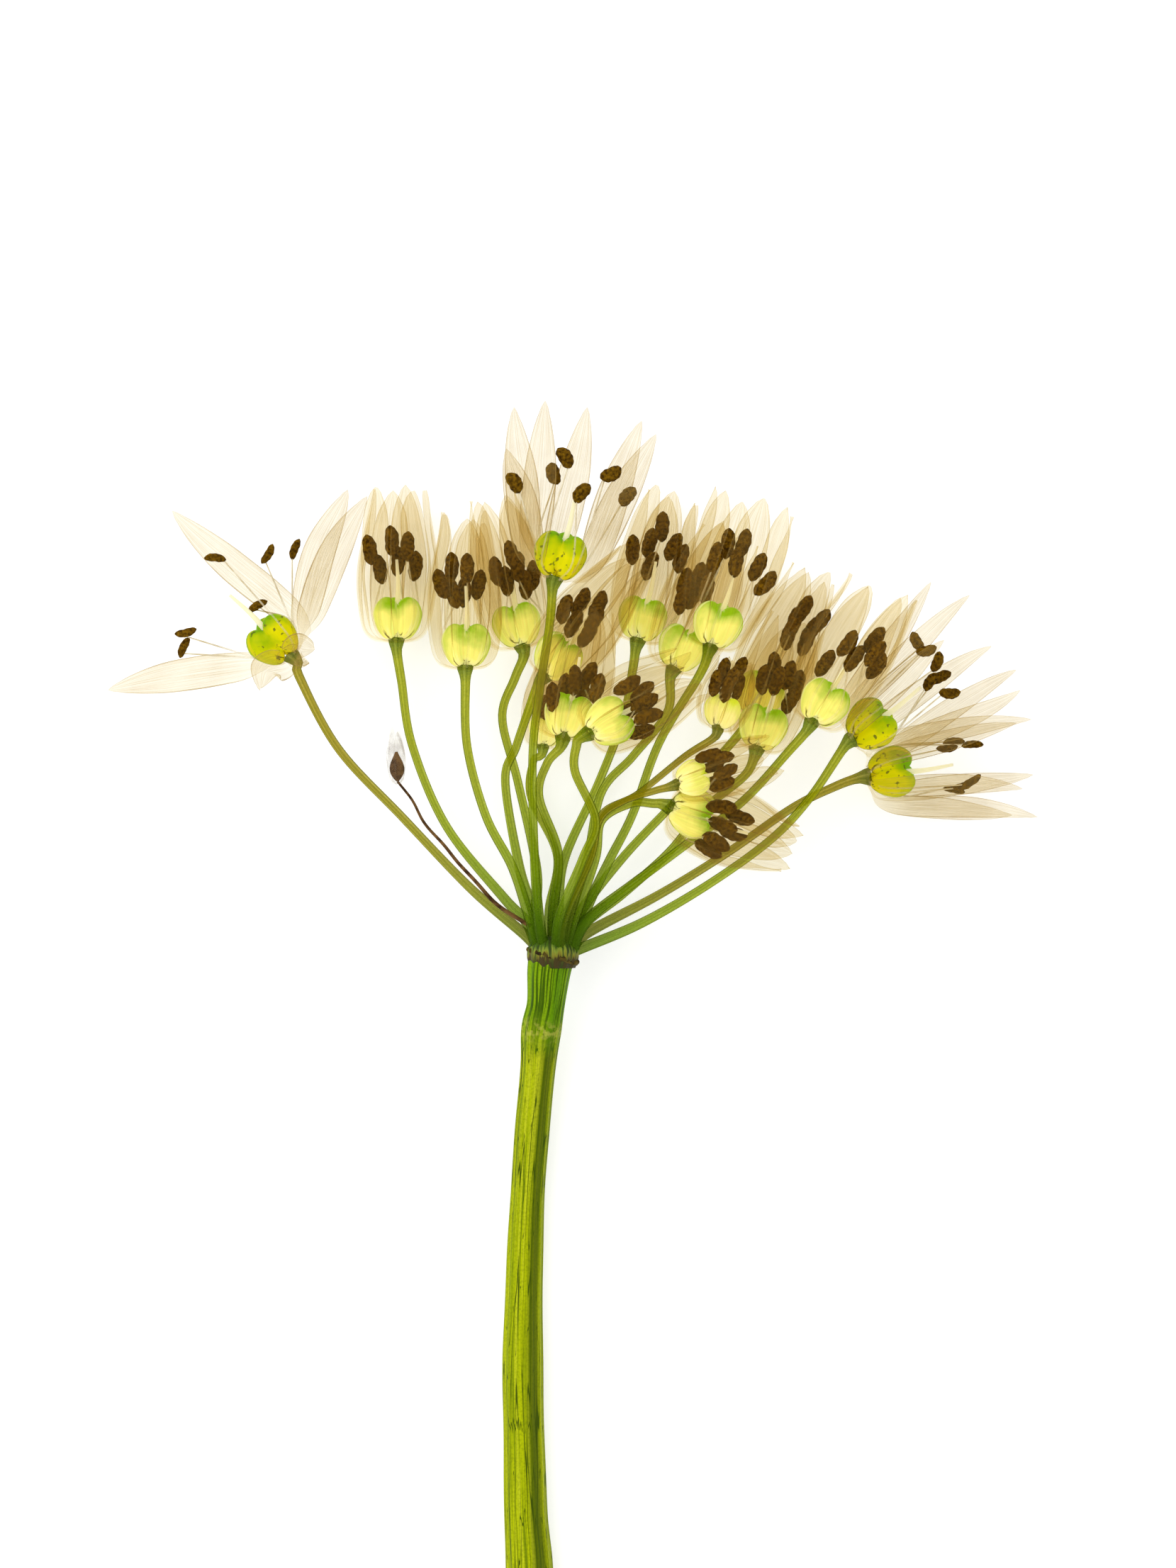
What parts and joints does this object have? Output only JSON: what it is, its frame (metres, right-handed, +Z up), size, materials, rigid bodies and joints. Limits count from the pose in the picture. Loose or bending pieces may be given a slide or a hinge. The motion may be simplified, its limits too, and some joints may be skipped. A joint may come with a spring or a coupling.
{
  "type": "wild garlic flower head",
  "caption": "Cut wild garlic flower head lying flat: a green stalk, an umbel of white star flowers on thin stalks, and a withered flower.",
  "frame": {"origin": "on the resting surface, under the middle of the bounding box", "axes": "+Y along the stalk from the cut end towards the flowers, +X to the right and +Z up as it lies"},
  "size_m": [0.06, 0.078, 0.0197],
  "materials": {
    "scape_green": null,
    "base_green": null,
    "pedicel_green": null,
    "tepal_white": null,
    "ovary_green": null,
    "anther_brown": null,
    "withered_brown": null
  },
  "bodies": {
    "root": {"scape": "scape_green", "umbel_base": "base_green", "withered_flower": "withered_brown", "pedicel_01": "pedicel_green", "perianth_01": "tepal_white", "pistil_01": "ovary_green", "pedicel_02": "pedicel_green", "perianth_02": "tepal_white", "pistil_02": "ovary_green", "pedicel_03": "pedicel_green", "perianth_03": "tepal_white", "pistil_03": "ovary_green", "pedicel_04": "pedicel_green", "perianth_04": "tepal_white", "pistil_04": "ovary_green", "pedicel_05": "pedicel_green", "perianth_05": "tepal_white", "pistil_05": "ovary_green", "pedicel_06": "pedicel_green", "perianth_06": "tepal_white", "pistil_06": "ovary_green", "pedicel_07": "pedicel_green", "perianth_07": "tepal_white", "pistil_07": "ovary_green", "pedicel_08": "pedicel_green", "perianth_08": "tepal_white", "pistil_08": "ovary_green", "pedicel_09": "pedicel_green", "perianth_09": "tepal_white", "pistil_09": "ovary_green", "pedicel_10": "pedicel_green", "perianth_10": "tepal_white", "pedicel_11": "pedicel_green", "perianth_11": "tepal_white", "pistil_11": "ovary_green", "pedicel_12": "pedicel_green", "perianth_12": "tepal_white", "pistil_12": "ovary_green", "pedicel_13": "pedicel_green", "perianth_13": "tepal_white", "pedicel_14": "pedicel_green", "perianth_14": "tepal_white", "pistil_14": "ovary_green", "pedicel_15": "pedicel_green", "perianth_15": "tepal_white", "pistil_15": "ovary_green", "pedicel_16": "pedicel_green", "perianth_16": "tepal_white", "pistil_16": "ovary_green", "pedicel_17": "pedicel_green", "perianth_17": "tepal_white", "pistil_17": "ovary_green", "pedicel_18": "pedicel_green", "perianth_18": "tepal_white", "pistil_18": "ovary_green", "pedicel_19": "pedicel_green", "perianth_19": "tepal_white", "pedicel_20": "pedicel_green", "perianth_20": "tepal_white", "pistil_20": "ovary_green"}
  },
  "joints": []
}
